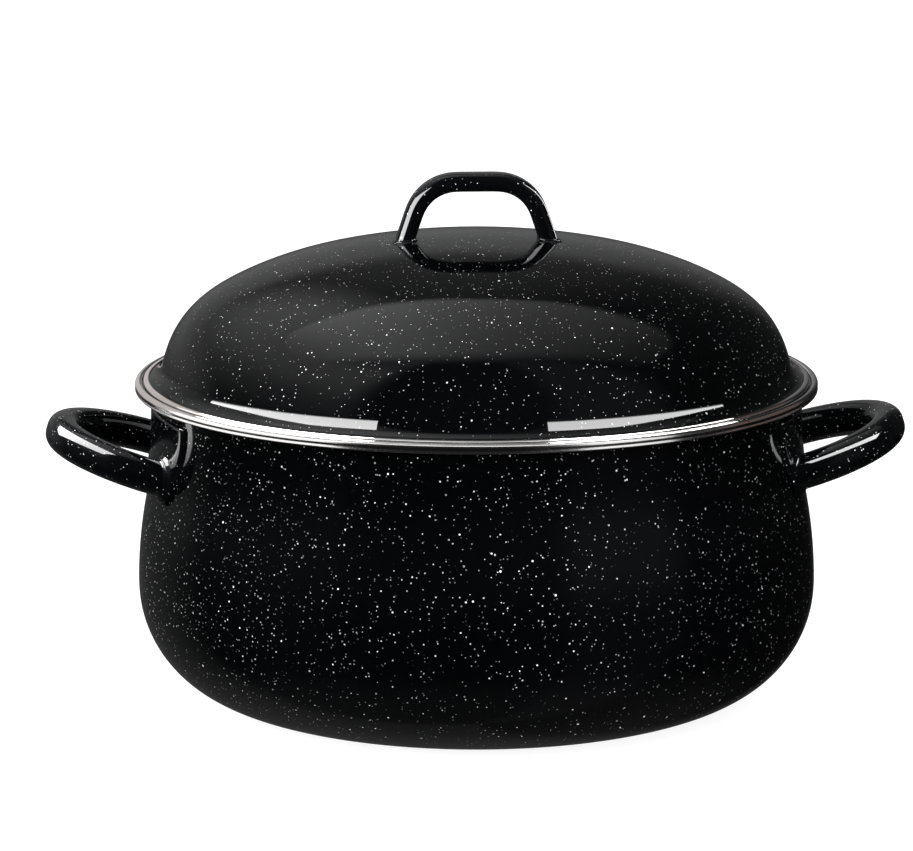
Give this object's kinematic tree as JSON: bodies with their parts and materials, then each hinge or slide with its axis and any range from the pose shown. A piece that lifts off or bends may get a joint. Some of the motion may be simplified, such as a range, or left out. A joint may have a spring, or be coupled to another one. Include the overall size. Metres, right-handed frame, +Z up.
{
  "type": "water bath canner",
  "caption": "Bellied enamel pot with stainless-bound rim, loop side handles, lift-off domed lid with arch handle, and a wire jar rack with fold-down handles",
  "frame": {"origin": "centre of the flat base, on the ground", "axes": "+Z up along the pot axis, X through the two side handles, +Y to the back"},
  "size_m": [0.3796, 0.3006, 0.2354],
  "materials": {
    "enamel": "gloss black porcelain enamel with fine white speckle, over steel",
    "stainless_trim": "bright rolled stainless trim",
    "plated_wire": "bright plated steel wire"
  },
  "bodies": {
    "pot": {"pot_body": "enamel", "pot_rim_trim": "stainless_trim", "left_handle_saddle": "enamel", "right_handle_saddle": "enamel", "left_side_handle": "enamel", "right_side_handle": "enamel", "side_handle_weld_collars": "enamel"},
    "lid": {"lid_dome": "enamel", "lid_rim_trim": "stainless_trim", "lid_handle": "enamel", "lid_handle_foot_collars": "enamel"},
    "rack": {"rack_base_ring": "plated_wire", "rack_middle_ring": "plated_wire", "rack_hub_ring": "plated_wire", "rack_floor_spokes": "plated_wire", "rack_feet": "plated_wire", "rack_uprights": "plated_wire", "rack_upper_ring": "plated_wire", "rack_jar_dividers": "plated_wire", "rack_divider_stay_ring": "plated_wire", "rack_hinge_eyes": "plated_wire"},
    "left_bail": {"rack_handle_left": "plated_wire"},
    "right_bail": {"rack_handle_right": "plated_wire"}
  },
  "joints": [
    {"name": "lid_lift", "type": "slide", "parent": "pot", "child": "lid", "axis": [0, 0, 1], "range_m": [0, 0.3]},
    {"name": "rack_lift", "type": "slide", "parent": "pot", "child": "rack", "axis": [0, 0, 1], "range_m": [0, 0.18]},
    {"name": "rack_left_handle_fold", "type": "hinge", "parent": "rack", "child": "left_bail", "pos_m": [-0.1175, 0, 0.1221], "axis": [0, -1, 0], "range_deg": [0, 90]},
    {"name": "rack_right_handle_fold", "type": "hinge", "parent": "rack", "child": "right_bail", "pos_m": [0.1175, 0, 0.1221], "axis": [0, 1, 0], "range_deg": [0, 90]}
  ],
  "couplings": [
    {"joint": "rack_lift", "follows": "lid_lift", "ratio": 0.6}
  ]
}
